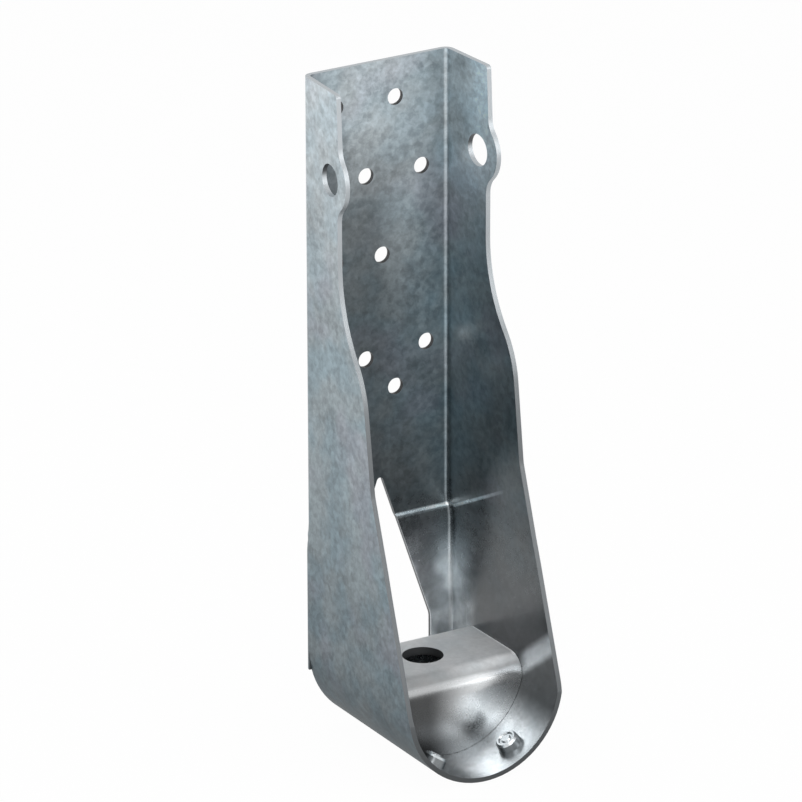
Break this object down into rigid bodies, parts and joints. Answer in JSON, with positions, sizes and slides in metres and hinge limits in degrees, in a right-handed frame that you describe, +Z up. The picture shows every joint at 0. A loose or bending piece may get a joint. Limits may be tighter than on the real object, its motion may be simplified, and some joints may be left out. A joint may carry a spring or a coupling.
{
  "type": "hold down bracket",
  "caption": "Folded sheet steel hold down with tall screw plate, flared side flanges, pierced ears, rolled trough and a separate pressed seat for the anchor rod.",
  "frame": {"origin": "centre of the anchor hole, on the top face of the seat plate", "axes": "+Z up along the anchor rod, +Y towards the post that the back is screwed to, +X to the right for someone who faces the open front"},
  "size_m": [0.071, 0.0835, 0.2778],
  "materials": {
    "galvanised_sheet": "hot-dip galvanised sheet with a fine crystal pattern, satin",
    "seat_steel": "galvanised plate, smooth and a little glossier"
  },
  "bodies": {
    "root": {"bracket_body": "galvanised_sheet", "seat_plate": "seat_steel"}
  },
  "joints": []
}
